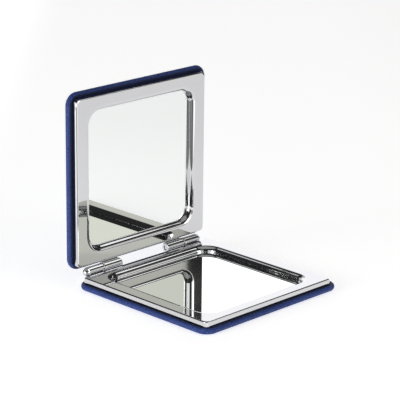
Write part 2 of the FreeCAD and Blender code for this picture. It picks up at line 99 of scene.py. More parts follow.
# Attribute of the leatherette's points for its painted shade: 0 on the open panel, 1 where it turns
# in beside the frame and is painted darkest. It grows between two shares of the ledge's width,
# counted from the cover's edge, and at the hinge between two shares of the cover's height.
PAINTED_SHADE = "turned_in"
SHADE_ACROSS = (0.25, 0.5)
SHADE_UP = (0.5, 0.9)


def to_linear(code):
    """Linear RGB of an sRGB hex colour, by the curve of the sRGB standard."""
    srgb = np.array([int(code[i:i + 2], 16) for i in (1, 3, 5)]) / 255
    linear = np.where(srgb <= 0.04045, srgb / 12.92, ((srgb + 0.055) / 1.055) ** 2.4)
    return tuple(float(value) for value in linear)


def length_property(name, description, millimetres):
    """A length in metres that the sidebar shows, given in millimetres."""
    return bpy.props.FloatProperty(
        name=name,
        description=description,
        default=millimetres * MM,
        min=0.0,
        unit="LENGTH",
        precision=5,
    )


def colour_property(name, description, code):
    """A colour that the sidebar shows, given as an sRGB hex value."""
    return bpy.props.FloatVectorProperty(
        name=name,
        description=description,
        default=to_linear(code),
        size=3,
        min=0.0,
        max=1.0,
        subtype="COLOR",
    )


class PocketMirrorSizes(bpy.types.PropertyGroup):
    """Sizes of the visible surfaces that the CAD boxes don't give."""

    side_rail: length_property("Side rail", "Flat rail at the left and right of the window", 4.5)
    end_rail: length_property("End rail", "Flat rail at the window's front and hinge edges", 3.6)
    lip_round: length_property("Lip", "Roll of the frame's face down into the window", 2.1)
    frame_corner: length_property("Frame corner", "Plan radius of the frame's outer corners", 1.6)
    window_corner: length_property("Window corner", "Plan radius of the window at the glass", 5.0)
    wall_foot: length_property("Wall foot", "Flare of the frame's outer wall at its foot", 0.08)
    wall_lean: length_property("Wall lean", "Lean of the frame's outer wall, in at its top", 0.2)
    edge_round: length_property("Edge rounding", "Rounding of the face at its outer edge", 0.4)
    sheet: length_property("Sheet", "Thickness of the frame's metal", 0.5)
    sheared_round: length_property("Sheared edge", "Rounding of the metal's cut edges", 0.06)
    glass_corner: length_property("Glass corner", "Plan radius of the mirror's corners", 5.9)
    glass_bevel: length_property("Glass bevel", "Arris taken off the mirror's edges", 0.15)
    cover_corner: length_property("Cover corner", "Plan radius of the cover's corners", 4.5)
    cover_round: length_property("Cover rounding", "Rounding of the cover's edges", 1.05)
    skin: length_property("Leatherette", "Thickness of the leatherette", 0.4)
    skin_round: length_property("Cut edge", "Rounding of the leatherette beside the frame", 0.04)
    opening_gap: length_property("Opening gap", "Between the frame and the leatherette", 0.1)
    ledge_dip: length_property("Ledge dip", "Fall of the leatherette towards the frame", 0.3)
    barrel_round: length_property("Knuckle rounding", "Rounding of the knuckles' ends", 0.25)
    bore: length_property("Bore", "Radius of the hole through a knuckle", 0.85)
    tail_low: length_property("Tail low", "Knuckle's tail above the cover's outside", 2.7)
    tail_thickness: length_property("Tail", "Thickness of a knuckle's tail", 0.8)
    tail_inset: length_property("Tail inset", "Tail shorter than its knuckle at each end", 0.4)
    tail_reach: length_property("Tail reach", "Tail from the hinge axis into the leaf", 5.4)
    tail_root: length_property("Tail root", "Tail's end inside the barrel, from the axis", 0.78)
    pin_radius: length_property("Pin", "Radius of the hinge pin", 0.8)
    pin_head: length_property("Pin head", "Radius of the pin's domed head", 1.5)


class PocketMirrorColours(bpy.types.PropertyGroup):
    """Colours of the finishes and the stage."""

    plate: colour_property("Plate", "Bright nickel plate", "#D5D5D7")
    silver: colour_property("Silver", "Silvering seen through the glass", "#F4F6F5")
    leatherette_crest: colour_property("Leatherette crest", "Tops of the grain", "#3C5396")
    leatherette_valley: colour_property("Leatherette valley", "Creases of the grain", "#243368")
    # Painted shade: the leatherette's colour where it turns in beside the frame, darkened for the
    # shade there
    leatherette_turned: colour_property("Leatherette turned in", "Pressed edge", "#141D42")
    plastic: colour_property("Plastic", "Moulded shell and spacer", "#18181A")
    tape: colour_property("Tape", "Double-sided tape", "#E6E4DC")
    magnet: colour_property("Magnet", "Nickel coat of the magnets", "#B8B6B0")
    floor: colour_property("Floor", "Table top", "#F2F2F2")


def add_node(tree, kind, settings=None, sockets=None):
    """Add a node, set its properties, and give its input sockets values or links."""
    made = tree.nodes.new(kind)
    for name, value in (settings or {}).items():
        setattr(made, name, value)
    for key, value in (sockets or {}).items():
        if isinstance(value, bpy.types.NodeSocket):
            tree.links.new(value, made.inputs[key])
        else:
            made.inputs[key].default_value = value
    return made


def new_material(name):
    """Empty node material, with its tree."""
    material = bpy.data.materials.new(name)
    material.use_nodes = True
    material.node_tree.nodes.clear()
    return material, material.node_tree


def rgba(colour, share=1.0):
    """Four-number colour of a three-number one, brightened or dimmed by a share."""
    return tuple(value * share for value in colour) + (1.0,)


def bright_nickel_plate(colours):
    """Pressed steel with polished nickel: sharp reflections that waver a little over the pressing,
    a faint haze where it was wiped, and no colour of its own."""
    material, tree = new_material("bright_nickel_plate")
    place = add_node(tree, "ShaderNodeTexCoord").outputs["Object"]
    # Wipe marks about 3 mm apart across the cloth's stroke, and 18 mm long
    wiping = add_node(
        tree,
        "ShaderNodeMapping",
        None,
        {"Vector": place, "Rotation": (0.4, 0.7, 0.3), "Scale": (1.0, 6.0, 1.0)},
    )
    haze = add_node(
        tree,
        "ShaderNodeTexNoise",
        None,
        {"Vector": wiping.outputs[0], "Scale": 1 / (18 * MM), "Detail": 3.0},
    )
    roughness = add_node(
        tree,
        "ShaderNodeMapRange",
        None,
        {
            "Value": haze.outputs[0],
            "From Min": 0.35,
            "From Max": 0.7,
            "To Min": 0.02,
            "To Max": 0.05,
        },
    )
    tint = add_node(
        tree,
        "ShaderNodeMix",
        {"data_type": "RGBA"},
        {"Factor": haze.outputs[0], "A": rgba(colours.plate), "B": rgba(colours.plate, 0.97)},
    )
    # Waves of the pressing, about 9 mm long and at most a micrometre high
    waves = add_node(
        tree,
        "ShaderNodeTexNoise",
        None,
        {"Vector": place, "Scale": 1 / (9 * MM), "Detail": 1.0},
    )
    bump = add_node(
        tree,
        "ShaderNodeBump",
        None,
        {"Height": waves.outputs[0], "Strength": 0.25, "Distance": 0.004 * MM},
    )
    shader = add_node(
        tree,
        "ShaderNodeBsdfPrincipled",
        None,
        {
            "Base Color": tint.outputs["Result"],
            "Metallic": 1.0,
            "Roughness": roughness.outputs[0],
            "Normal": bump.outputs[0],
        },
    )
    add_node(tree, "ShaderNodeOutputMaterial", None, {"Surface": shader.outputs[0]})
    return material


def silvered_float_glass(colours):
    """Clear float glass silvered on its back: nearly all light comes back, the glass in front adds
    its own faint gloss, and a little dust dulls the odd spot."""
    material, tree = new_material("silvered_float_glass")
    place = add_node(tree, "ShaderNodeTexCoord").outputs["Object"]
    # Dust specks about 0.3 mm across
    dust = add_node(
        tree,
        "ShaderNodeTexNoise",
        None,
        {"Vector": place, "Scale": 1 / (0.3 * MM), "Detail": 2.0},
    )
    roughness = add_node(
        tree,
        "ShaderNodeMapRange",
        None,
        {
            "Value": dust.outputs[0],
            "From Min": 0.72,
            "From Max": 0.85,
            "To Min": 0.0,
            "To Max": 0.06,
        },
    )
    tint = add_node(
        tree,
        "ShaderNodeMix",
        {"data_type": "RGBA"},
        {
            "Factor": roughness.outputs[0],
            "A": rgba(colours.silver),
            "B": rgba(colours.silver, 0.8),
        },
    )
    shader = add_node(
        tree,
        "ShaderNodeBsdfPrincipled",
        None,
        {
            "Base Color": tint.outputs["Result"],
            "Metallic": 1.0,
            "Roughness": roughness.outputs[0],
            "Coat Weight": 1.0,
            "Coat Roughness": 0.0,
            "Coat IOR": 1.52,
        },
    )
    add_node(tree, "ShaderNodeOutputMaterial", None, {"Surface": shader.outputs[0]})
    return material


def navy_leatherette(colours):
    """Coated cloth embossed with a fine pebble grain: low sheen, each pebble's top a little lighter
    and glossier than the creases round it, and painted shade where it turns in beside the frame."""
    material, tree = new_material("navy_leatherette")
    place = add_node(tree, "ShaderNodeTexCoord").outputs["Object"]
    # Pebbles 0.6 mm across, bent by up to 0.35 mm over 1.5 mm so that no two are alike
    warp = add_node(
        tree,
        "ShaderNodeTexNoise",
        None,
        {"Vector": place, "Scale": 1 / (1.5 * MM), "Detail": 2.0},
    )
    bent = add_node(
        tree,
        "ShaderNodeVectorMath",
        {"operation": "MULTIPLY_ADD"},
        {0: warp.outputs["Color"], 1: (0.35 * MM,) * 3, 2: place},
    )
    pebbles = add_node(
        tree,
        "ShaderNodeTexVoronoi",
        {"feature": "DISTANCE_TO_EDGE"},
        {"Vector": bent.outputs[0], "Scale": 1 / (0.6 * MM)},
    )
    crest = add_node(
        tree,
        "ShaderNodeMapRange",
        {"interpolation_type": "SMOOTHSTEP"},
        {"Value": pebbles.outputs["Distance"], "From Max": 0.25},
    )
    # The coat's own fine tooth of 0.12 mm, a quarter as high as the pebbles
    tooth = add_node(
        tree,
        "ShaderNodeTexNoise",
        None,
        {"Vector": place, "Scale": 1 / (0.12 * MM), "Detail": 2.0},
    )
    height = add_node(
        tree,
        "ShaderNodeMath",
        {"operation": "MULTIPLY_ADD"},
        {0: tooth.outputs[0], 1: 0.25, 2: crest.outputs[0]},
    )
    # Slow change of the dye over about 12 mm, by up to 0.15 lighter or darker
    dye = add_node(
        tree,
        "ShaderNodeTexNoise",
        None,
        {"Vector": place, "Scale": 1 / (12 * MM), "Detail": 2.0},
    )
    shade = add_node(
        tree,
        "ShaderNodeMath",
        {"operation": "MULTIPLY_ADD"},
        {0: dye.outputs[0], 1: 0.3, 2: -0.15},
    )
    level = add_node(
        tree,
        "ShaderNodeMath",
        {"operation": "ADD", "use_clamp": True},
        {0: crest.outputs[0], 1: shade.outputs[0]},
    )
    tint = add_node(
        tree,
        "ShaderNodeMix",
        {"data_type": "RGBA"},
        {
            "Factor": level.outputs[0],
            "A": rgba(colours.leatherette_valley),
            "B": rgba(colours.leatherette_crest),
        },
    )
    # Painted shade: the colour goes darker where the leatherette turns in beside the frame, by its
    # attribute
    ledge_shade = add_node(tree, "ShaderNodeAttribute", {"attribute_name": PAINTED_SHADE}).outputs["Fac"]
    shaded_tint = add_node(
        tree,
        "ShaderNodeMix",
        {"data_type": "RGBA"},
        {"Factor": ledge_shade, "A": tint.outputs["Result"], "B": rgba(colours.leatherette_turned)},
    )
    roughness = add_node(
        tree,
        "ShaderNodeMapRange",
        None,
        {"Value": height.outputs[0], "From Max": 1.2, "To Min": 0.7, "To Max": 0.42},
    )
    bump = add_node(
        tree,
        "ShaderNodeBump",
        None,
        {"Height": height.outputs[0], "Strength": 0.6, "Distance": 0.06 * MM},
    )
    shader = add_node(
        tree,
        "ShaderNodeBsdfPrincipled",
        None,
        {
            "Base Color": shaded_tint.outputs["Result"],
            "Roughness": roughness.outputs[0],
            "IOR": 1.5,
            "Specular IOR Level": 0.22,
            "Normal": bump.outputs[0],
        },
    )
    add_node(tree, "ShaderNodeOutputMaterial", None, {"Surface": shader.outputs[0]})
    return material


# A plain finish's darkest share of its colour, and how far its roughness goes up and down
SPECKLE_DARK = 0.88
SPECKLE_GLOSS = 0.08


def speckled_finish(name, colour, metallic, roughness, grain, depth):
    """Plain finish with a fine tooth: colour and gloss vary a little with noise of a grain size,
    which also stands up by a depth."""
    material, tree = new_material(name)
    place = add_node(tree, "ShaderNodeTexCoord").outputs["Object"]
    tooth = add_node(
        tree,
        "ShaderNodeTexNoise",
        None,
        {"Vector": place, "Scale": 1 / grain, "Detail": 3.0},
    )
    tint = add_node(
        tree,
        "ShaderNodeMix",
        {"data_type": "RGBA"},
        {"Factor": tooth.outputs[0], "A": rgba(colour, SPECKLE_DARK), "B": rgba(colour)},
    )
    gloss = add_node(
        tree,
        "ShaderNodeMapRange",
        None,
        {
            "Value": tooth.outputs[0],
            "To Min": roughness + SPECKLE_GLOSS,
            "To Max": roughness - SPECKLE_GLOSS,
        },
    )
    bump = add_node(
        tree,
        "ShaderNodeBump",
        None,
        {"Height": tooth.outputs[0], "Strength": 0.5, "Distance": depth},
    )
    shader = add_node(
        tree,
        "ShaderNodeBsdfPrincipled",
        None,
        {
            "Base Color": tint.outputs["Result"],
            "Metallic": metallic,
            "Roughness": gloss.outputs[0],
            "Normal": bump.outputs[0],
        },
    )
    add_node(tree, "ShaderNodeOutputMaterial", None, {"Surface": shader.outputs[0]})
    return material


def black_moulded_plastic(colours):
    """Moulded ABS with the mould's fine spark-eroded tooth, 0.15 mm across."""
    return speckled_finish(
        "black_moulded_plastic",
        colours.plastic,
        metallic=0.0,
        roughness=0.55,
        grain=0.15 * MM,
        depth=0.01 * MM,
    )


def white_tape(colours):
    """Double-sided tape: soft white film with a papery tooth of 0.4 mm."""
    return speckled_finish(
        "white_tape",
        colours.tape,
        metallic=0.0,
        roughness=0.7,
        grain=0.4 * MM,
        depth=0.01 * MM,
    )


def nickel_coated_magnet(colours):
    """Sintered magnet under nickel: satin metal with a grain of 0.2 mm."""
    return speckled_finish(
        "nickel_coated_magnet",
        colours.magnet,
        metallic=1.0,
        roughness=0.32,
        grain=0.2 * MM,
        depth=0.004 * MM,
    )


def finish(make, context):
    """The finish that a function makes and is named for, made on its first use."""
    found = bpy.data.materials.get(make.__name__)
    return found or make(context.scene.pocket_mirror_colours)


def rounded_profile(points, radii, closed):
    """Profile with rounded corners.

    Each point is a row of numbers, of which the first and the last are its place in the profile's
    plane. A corner of radius r is cut back by r * tan(turn / 2) along both of its runs, and the arc
    between is spread over the two runs' directions, so the other numbers of the rows follow the
    same arc. A row just outside each arc keeps the runs flat when they are shaded smooth.
    """
    points = np.asarray(points, float)
    count = len(points)
    rows = []
    for index, radius in enumerate(radii):
        here = points[index]
        if radius == 0 or (not closed and index in (0, count - 1)):
            rows.append(here[None])
            continue
        runs = np.stack([points[index - 1] - here, points[(index + 1) % count] - here])
        runs /= np.linalg.norm(runs[:, [0, -1]], axis=1)[:, None]
        plane = runs[:, [0, -1]]
        half_angle = math.acos(np.clip(plane[0] @ plane[1], -1, 1)) / 2
        cut = radius / math.tan(half_angle)
        between = (plane[0] + plane[1]) / np.linalg.norm(plane[0] + plane[1])
        centre = between * radius / math.sin(half_angle)
        sweep = np.linspace(-1, 1, EDGE_STEPS + 1) * (math.pi / 2 - half_angle)
        across = plane[1] - (plane[1] @ between) * between
        across /= np.linalg.norm(across)
        arc = centre + radius * (
            np.outer(np.sin(sweep), across) - np.outer(np.cos(sweep), between)
        )
        shares = np.linalg.solve(plane.T, arc.T).T
        rows.append(here + (cut + HOLD) * runs[:1])
        rows.append(here + shares @ runs)
        rows.append(here + (cut + HOLD) * runs[1:])
    return np.concatenate(rows)


def rounded_outline(half_x, half_y, shift_y, corner):
    """Points round rounded rectangles, one ring for each entry: four quarter circles about the
    corner centres, joined by straight runs, counted anticlockwise."""
    turn = np.linspace(0, math.pi / 2, CORNER_STEPS + 1)
    angles = turn + np.arange(4)[:, None] * math.pi / 2
    signs = np.array([(1, 1), (-1, 1), (-1, -1), (1, -1)])
    centres = np.stack([half_x - corner, half_y - corner], -1)[:, None] * signs
    circle = np.stack([np.cos(angles), np.sin(angles)], -1)
    arcs = centres[:, :, None] + corner[:, None, None, None] * circle
    share = (np.arange(1, RUN_STEPS) / RUN_STEPS)[:, None]
    starts = arcs[:, :, -1:]
    ends = np.roll(arcs, -1, axis=1)[:, :, :1]
    runs = starts + share * (ends - starts)
    ring = np.concatenate([arcs, runs], axis=2).reshape(len(half_x), -1, 2)
    ring[:, :, 1] += shift_y[:, None]
    return ring


def plan_surface(profile):
    """Surface of a profile carried round a rounded rectangle: each row holds the rectangle's half
    sizes, its shift, its corner radius and its height."""
    half_x, half_y, shift_y, corner, height = profile.T
    ring = rounded_outline(half_x, half_y, shift_y, corner)
    heights = np.broadcast_to(height[:, None, None], ring.shape[:2] + (1,))
    return np.concatenate([ring, heights], axis=2)


def turned_surface(profile):
    """Surface of a profile turned about the hinge axis: each row holds a radius and a place along
    X, and goes round by the cosine and the sine of the angle."""
    radius, along = profile.T
    angle = np.arange(TURN_STEPS) * 2 * math.pi / TURN_STEPS
    across = AXIS_Y + radius[:, None] * np.cos(angle)
    height = AXIS_Z + radius[:, None] * np.sin(angle)
    return np.stack([np.broadcast_to(along[:, None], across.shape), across, height], axis=2)


def grid_faces(rows, columns, closed, first):
    """Faces of a grid of rings: quads between neighbouring rings, and a cap at each open end."""
    count = rows if closed else rows - 1
    row = np.arange(count)[:, None]
    column = np.arange(columns)
    after_row = (row + 1) % rows
    after_column = (column + 1) % columns
    quads = np.stack(
        [
            row * columns + column,
            row * columns + after_column,
            after_row * columns + after_column,
            after_row * columns + column,
        ],
        axis=-1,
    )
    faces = (quads.reshape(-1, 4) + first).tolist()
    if not closed:
        faces.append((np.arange(columns)[::-1] + first).tolist())
        faces.append((np.arange(columns) + (rows - 1) * columns + first).tolist())
    return faces


def on_leaf(points, leaf):
    """Points from the leaf's own axes to where the leaf stands: the lid is the base turned by a
    half turn about the line that swaps height with depth through the hinge."""
    if leaf == "base":
        return points
    reach = AXIS_Y + AXIS_Z
    x, y, z = np.moveaxis(points, -1, 0)
    return np.stack([-x, reach - z, reach - y], axis=-1)


def put_piece(name, surfaces, material, body, node):
    """Make one object of closed surfaces, which stands for a CAD node and rides on its body."""
    vertices = []
    faces = []
    for points, closed in surfaces:
        first = sum(len(part) for part in vertices)
        faces += grid_faces(points.shape[0], points.shape[1], closed, first)
        vertices.append(points.reshape(-1, 3))
    mesh = bpy.data.meshes.new(name)
    mesh.from_pydata(np.concatenate(vertices), [], faces)
    if mesh.validate():
        raise RuntimeError("%s has faces that are not sound" % name)
    mesh.shade_smooth()
    mesh.materials.append(material)
    piece = bpy.data.objects.new(name, mesh)
    bpy.context.scene.collection.objects.link(piece)
    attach(piece, body)
    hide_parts(node)
    return piece


def put_on_leaves(name, surface, closed, material, node):
    """Make the same piece on the base and on the lid, each standing for its own leaf's node."""
    return [
        put_piece(
            "%s_%s" % (leaf, name),
            [(on_leaf(surface, leaf), closed)],
            material,
            leaf,
            "%s_%s" % (leaf, node),
        )
        for leaf in LEAVES
    ]


def body_of_node(node):
    """Name of the body that a CAD node belongs to."""
    return frame["nodes"][node]["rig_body"]


class POCKET_MIRROR_OT_frames(bpy.types.Operator):
    """Plated frames: wall, rounded edge, flat face, rolled lip and window wall, with the inside"""

    bl_idname = "pocket_mirror.frames"
    bl_label = "Plated frames"

    def execute(self, context):
        sizes = context.scene.pocket_mirror_sizes
        face = FRAME_HIGH.z
        glass = GLASS_HIGH.z
        under = face - sizes.sheet
        lip = sizes.lip_round
        flat = lip + FACE_HOLD
        cut = sizes.sheared_round

        def outer(margin, z):
            """The frame's outline, grown by a margin, at a height."""
            half_x = FRAME_HIGH.x + margin
            half_y = FRAME_HIGH.y + margin
            return (half_x, half_y, 0.0, sizes.frame_corner + margin, z)

        def window(margin, z):
            """The window's outline at the glass, grown by a margin, at a height."""
            half_x = FRAME_HIGH.x - sizes.side_rail - lip + margin
            half_y = FRAME_HIGH.y - sizes.end_rail - lip + margin
            return (half_x, half_y, 0.0, sizes.window_corner + margin, z)

        points, radii = zip(
            (outer(sizes.wall_foot, glass), cut),
            (outer(-sizes.wall_lean, face), sizes.edge_round),
            (window(flat, face), 0),
            (window(0.0, face), lip),
            (window(0.0, glass), cut),
            (window(sizes.sheet, glass), cut),
            (window(sizes.sheet, under), lip - sizes.sheet),
            (window(flat, under), 0),
            (outer(-sizes.sheet, under), cut),
            (outer(-sizes.sheet, glass), cut),
        )
        surface = plan_surface(rounded_profile(points, radii, True))
        plate = finish(bright_nickel_plate, context)
        put_on_leaves("plated_frame", surface, True, plate, "frame")
        return {"FINISHED"}


class POCKET_MIRROR_OT_mirrors(bpy.types.Operator):
    """Mirrors: flat glass with its arrises taken off, behind each window"""

    bl_idname = "pocket_mirror.mirrors"
    bl_label = "Mirrors"

    def execute(self, context):
        sizes = context.scene.pocket_mirror_sizes
        bevel = sizes.glass_bevel
        low = GLASS_LOW.z
        high = GLASS_HIGH.z
        margin, height = np.transpose(
            [
                (-bevel - HOLD, low),
                (-bevel, low),
                (0.0, low + bevel),
                (0.0, high - bevel),
                (-bevel, high),
                (-bevel - HOLD, high),
            ]
        )
        half_x = GLASS_HIGH.x + margin
        half_y = GLASS_HIGH.y + margin
        corner = sizes.glass_corner + margin
        profile = np.stack([half_x, half_y, np.zeros_like(margin), corner, height], axis=1)
        glass = finish(silvered_float_glass, context)
        surface = plan_surface(profile)
        put_on_leaves("silvered_glass", surface, False, glass, "mirror")
        return {"FINISHED"}


class POCKET_MIRROR_OT_covers(bpy.types.Operator):
    """Leatherette covers: a flat panel whose rounded edge turns in to the frame all round"""

    bl_idname = "pocket_mirror.covers"
    bl_label = "Leatherette covers"

    def execute(self, context):
        sizes = context.scene.pocket_mirror_sizes
        half_x = COVER_HIGH.x
        half_y = (COVER_HIGH.y - COVER_LOW.y) / 2
        shift = (COVER_HIGH.y + COVER_LOW.y) / 2
        top = COVER_HIGH.z
        skin = sizes.skin
        inner_round = sizes.cover_round - skin
        # The flats start clear of the row that holds the rounding, so that no two rows are the same
        turned = sizes.cover_round + 2 * HOLD
        gap = sizes.opening_gap
        opening = (FRAME_HIGH.x + gap, FRAME_HIGH.y + gap, 0.0, sizes.frame_corner + gap)

        def inset(margin):
            """The cover's outline, shrunk by a margin."""
            return (half_x - margin, half_y - margin, shift, sizes.cover_corner - margin)

        outlines, heights, radii = zip(
            (inset(2 * turned), 0.0, 0),
            (inset(0.0), 0.0, sizes.cover_round),
            (inset(0.0), top, sizes.cover_round),
            (inset(turned), top, 0),
            (opening, top - sizes.ledge_dip, sizes.skin_round),
            (opening, top - skin, 0),
            (inset(turned), top - skin, 0),
            (inset(skin), top - skin, inner_round),
            (inset(skin), skin, inner_round),
            (inset(2 * turned), skin, 0),
        )
        profile = rounded_profile(np.column_stack([outlines, heights]), radii, False)
        surface = plan_surface(profile)
        # The painted shade grows across the ledge. At the hinge, where the ledge is hardly wider
        # than its rounding, it grows with height.
        ledge = (half_x - profile[:, :1]) / (half_x - opening[0])
        height = surface[:, :, 2] / top
        across = np.interp(ledge, SHADE_ACROSS, (0, 1))
        upward = np.interp(height, SHADE_UP, (0, 1))
        at_hinge = surface[:, :, 1] > FRAME_HIGH.y
        shares = np.where(height > SHADE_UP[0], np.where(at_hinge, upward, across), 0)
        leatherette = finish(navy_leatherette, context)
        pieces = put_on_leaves("leatherette", surface, False, leatherette, "cover")
        # Each leaf's leatherette carries these shares of painted shade
        for piece in pieces:
            marks = piece.data.attributes.new(PAINTED_SHADE, "FLOAT", "POINT")
            marks.data.foreach_set("value", shares.ravel())
        return {"FINISHED"}


class POCKET_MIRROR_OT_knuckles(bpy.types.Operator):
    """Hinge knuckles: barrels turned about the hinge axis, each with a flat tail into its leaf"""

    bl_idname = "pocket_mirror.knuckles"
    bl_label = "Hinge knuckles"

    def execute(self, context):
        sizes = context.scene.pocket_mirror_sizes
        plate = finish(bright_nickel_plate, context)
        small = sizes.sheared_round
        middle_y = AXIS_Y - (sizes.tail_reach + sizes.tail_root) / 2
        half_y = (sizes.tail_reach - sizes.tail_root) / 2
        tail_high = sizes.tail_low + sizes.tail_thickness

        def tail_plan(half_x, margin, z):
            """A tail's outline, shrunk by a margin, at a height."""
            corner = TAIL_CORNER * small - margin
            return (half_x - margin, half_y - margin, middle_y, corner, z)

        for leaf in LEAVES:
            for side in SIDES:
                node = "%s_hinge_%s_knuckle" % (side, leaf)
                low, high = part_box(node)
                radius = high.z - AXIS_Z if leaf == "base" else AXIS_Y - low.y
                barrel_points = [
                    (sizes.bore, low.x),
                    (radius, low.x),
                    (radius, high.x),
                    (sizes.bore, high.x),
                ]
                barrel_radii = [small, sizes.barrel_round, sizes.barrel_round, small]
                barrel = turned_surface(rounded_profile(barrel_points, barrel_radii, True))
                middle_x = (low.x + high.x) / 2
                half_x = (high.x - low.x) / 2 - sizes.tail_inset
                tail_points = [
                    tail_plan(half_x, TAIL_FLAT * small, sizes.tail_low),
                    tail_plan(half_x, 0.0, sizes.tail_low),
                    tail_plan(half_x, 0.0, tail_high),
                    tail_plan(half_x, TAIL_FLAT * small, tail_high),
                ]
                tail = plan_surface(rounded_profile(tail_points, [0, small, small, 0], False))
                tail[:, :, 0] += middle_x if leaf == "base" else -middle_x
                put_piece(
                    "%s_%s_barrel" % (side, "outer" if leaf == "base" else "inner"),
                    [(barrel, True), (on_leaf(tail, leaf), False)],
                    plate,
                    leaf,
                    node,
                )
        return {"FINISHED"}


class POCKET_MIRROR_OT_pins(bpy.types.Operator):
    """Hinge pins with domed heads, and the rings between the knuckles"""

    bl_idname = "pocket_mirror.pins"
    bl_label = "Pins and rings"

    def execute(self, context):
        sizes = context.scene.pocket_mirror_sizes
        plate = finish(bright_nickel_plate, context)
        small = sizes.sheared_round
        for side, sign in SIDES.items():
            pin = side + "_hinge_pin"
            # Worked out as the right pin, whose head is a quarter of an ellipse. The left one is
            # the same, given a half turn about the upright through the axis.
            foot, tip = sorted(corner.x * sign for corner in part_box(pin))
            seat = max(corner.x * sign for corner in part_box(side + "_hinge_base_knuckle"))
            shank_points = [
                (small, foot),
                (sizes.pin_radius, foot),
                (sizes.pin_radius, seat),
                (sizes.pin_head, seat),
            ]
            shank = rounded_profile(shank_points, [0, small, 0, 0], False)
            turn = np.linspace(0, math.pi / 2, CORNER_STEPS + 1)[1:-1]
            head = np.stack(
                [sizes.pin_head * np.cos(turn), seat + (tip - seat) * np.sin(turn)], axis=1
            )
            surface = turned_surface(np.concatenate([shank, head]))
            if sign < 0:
                surface = surface * (-1, -1, 1) + (0, 2 * AXIS_Y, 0)
            put_piece(
                side + "_domed_pin",
                [(surface, False)],
                plate,
                body_of_node(pin),
                pin,
            )
            washer = side + "_hinge_washer"
            low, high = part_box(washer)
            radius = high.z - AXIS_Z
            ring_points = [
                (sizes.bore, low.x),
                (radius, low.x),
                (radius, high.x),
                (sizes.bore, high.x),
            ]
            edge = RING_EDGE * small
            ring = turned_surface(rounded_profile(ring_points, [0, edge, edge, 0], True))
            put_piece(
                side + "_ring",
                [(ring, True)],
                plate,
                body_of_node(washer),
                washer,
            )
        return {"FINISHED"}


class POCKET_MIRROR_OT_insides(bpy.types.Operator):
    """Finishes of the CAD pieces inside the leaves: shells, spacers, tapes and magnets"""

    bl_idname = "pocket_mirror.insides"
    bl_label = "Inside pieces"

    def execute(self, context):
        makes = {
            "shell": black_moulded_plastic,
            "spacer": black_moulded_plastic,
            "tape": white_tape,
            "magnet": nickel_coated_magnet,
        }
        for name, node in frame["nodes"].items():
            make = makes.get(name.split("_")[-1])
            if make:
                node.data.materials.clear()
                node.data.materials.append(finish(make, context))
        return {"FINISHED"}


def direction(turn, tilt):
    """Way out from the object at a turn, counted from the front to the right, and a tilt upwards:
    the sine and the cosine of the turn, both times the tilt's cosine, and the tilt's sine."""
    level = math.cos(tilt)
    return np.array([math.sin(turn) * level, -math.cos(turn) * level, math.sin(tilt)])


def level_right(turn):
    """Level way to the right of someone who looks at the object from a turn."""
    return np.array([math.cos(turn), math.sin(turn), 0.0])


# The photograph's camera: turn, tilt and roll, and its place along its own axes
CAMERA_TURN = math.radians(-45.53)
CAMERA_TILT = math.radians(17.51)
CAMERA_ROLL = math.radians(0.68)
CAMERA_PLACE = np.array([-2.46, 30.68, 650.35]) * MM
# Its focal length and the photograph's width in pixels, and the sensor's width in millimetres
FOCAL_PIXELS, PHOTO_WIDTH, SENSOR_WIDTH = 1875, 400, 36.0
# The nearest and the furthest that it sees, in metres
CLIP_START, CLIP_END = 0.05, 20.0

# Level ways to the camera's right and ahead of it
RIGHT_WAY = level_right(CAMERA_TURN)
AHEAD_WAY = -direction(CAMERA_TURN, 0.0)


def camera_axes():
    """Right, up and back of the camera as rows: looked at from a turn and a tilt, then rolled."""
    back = direction(CAMERA_TURN, CAMERA_TILT)
    up = np.cross(back, RIGHT_WAY)
    cosine, sine = math.cos(CAMERA_ROLL), math.sin(CAMERA_ROLL)
    return np.array([cosine * RIGHT_WAY + sine * up, cosine * up - sine * RIGHT_WAY, back])


def place_matrix(right, back, place):
    """Matrix of something that looks against its back direction, from its place."""
    up = np.cross(back, right)
    matrix = np.eye(4)
    matrix[:3] = np.stack([right, up, back, place], axis=1)
    return Matrix(matrix.tolist())


# Panels of the room: from and to in swing and in tilt, in degrees, then brightness and colour.
# Swing is counted from the way to the backdrop, to the camera's right; tilt is counted up from the
# horizon. Between the panels the room is dark.
WHITE = "#FFFFFF"
ROOM_DARK = 0.03
ROOM_PANELS = {
    "backdrop": (-40, 40, -90, 24, 1.3, "#FDFDFF"),
    "backdrop_top": (-40, 40, 24, 33, 0.62, "#FDFFF4"),
    "right_table": (40, 100, -90, -12, 0.97, WHITE),
    "front_table": (95, 150, -90, -5, 1.6, WHITE),
    "camera_table_1": (150, 154, -90, -8, 0.2, WHITE),
    "camera_table_2": (154, 163, -90, -8, 0.5, WHITE),
    "camera_table_3": (163, 175, -90, -8, 0.12, WHITE),
    "camera_table_4": (-176, -164, -90, -8, 0.45, WHITE),
    "camera_table_5": (-164, -150, -90, -8, 0.1, WHITE),
    "camera_table_6": (-150, -138, -90, -8, 0.4, WHITE),
    "camera_right_wall": (150, 180, -8, 3, 1.1, WHITE),
    "camera_left_wall": (-180, -130, -8, 3, 1.1, WHITE),
    "left_table": (-130, -40, -90, 0, 1.0, WHITE),
    "low_right_reflector": (89.35, 155, 4, 16, 0.95, WHITE),
    "right_reflector": (89.35, 155, 16, 19.15, 0.76, "#FFFFF3"),
    "right_wall": (89.35, 155, 19.15, 27, 0.63, "#FFFFF3"),
    "upper_right_wall": (74, 89.35, 23, 34, 0.12, "#FFFFF8"),
    "upper_right_softbox": (44, 73, 47, 52, 1.7, WHITE),
    "front_softbox": (122, 152, 47.4, 51, 0.9, WHITE),
    "left_reflector": (-168, -97, 5, 26, 1.2, WHITE),
    "ceiling": (-180, 180, 58, 90, 0.35, WHITE),
}


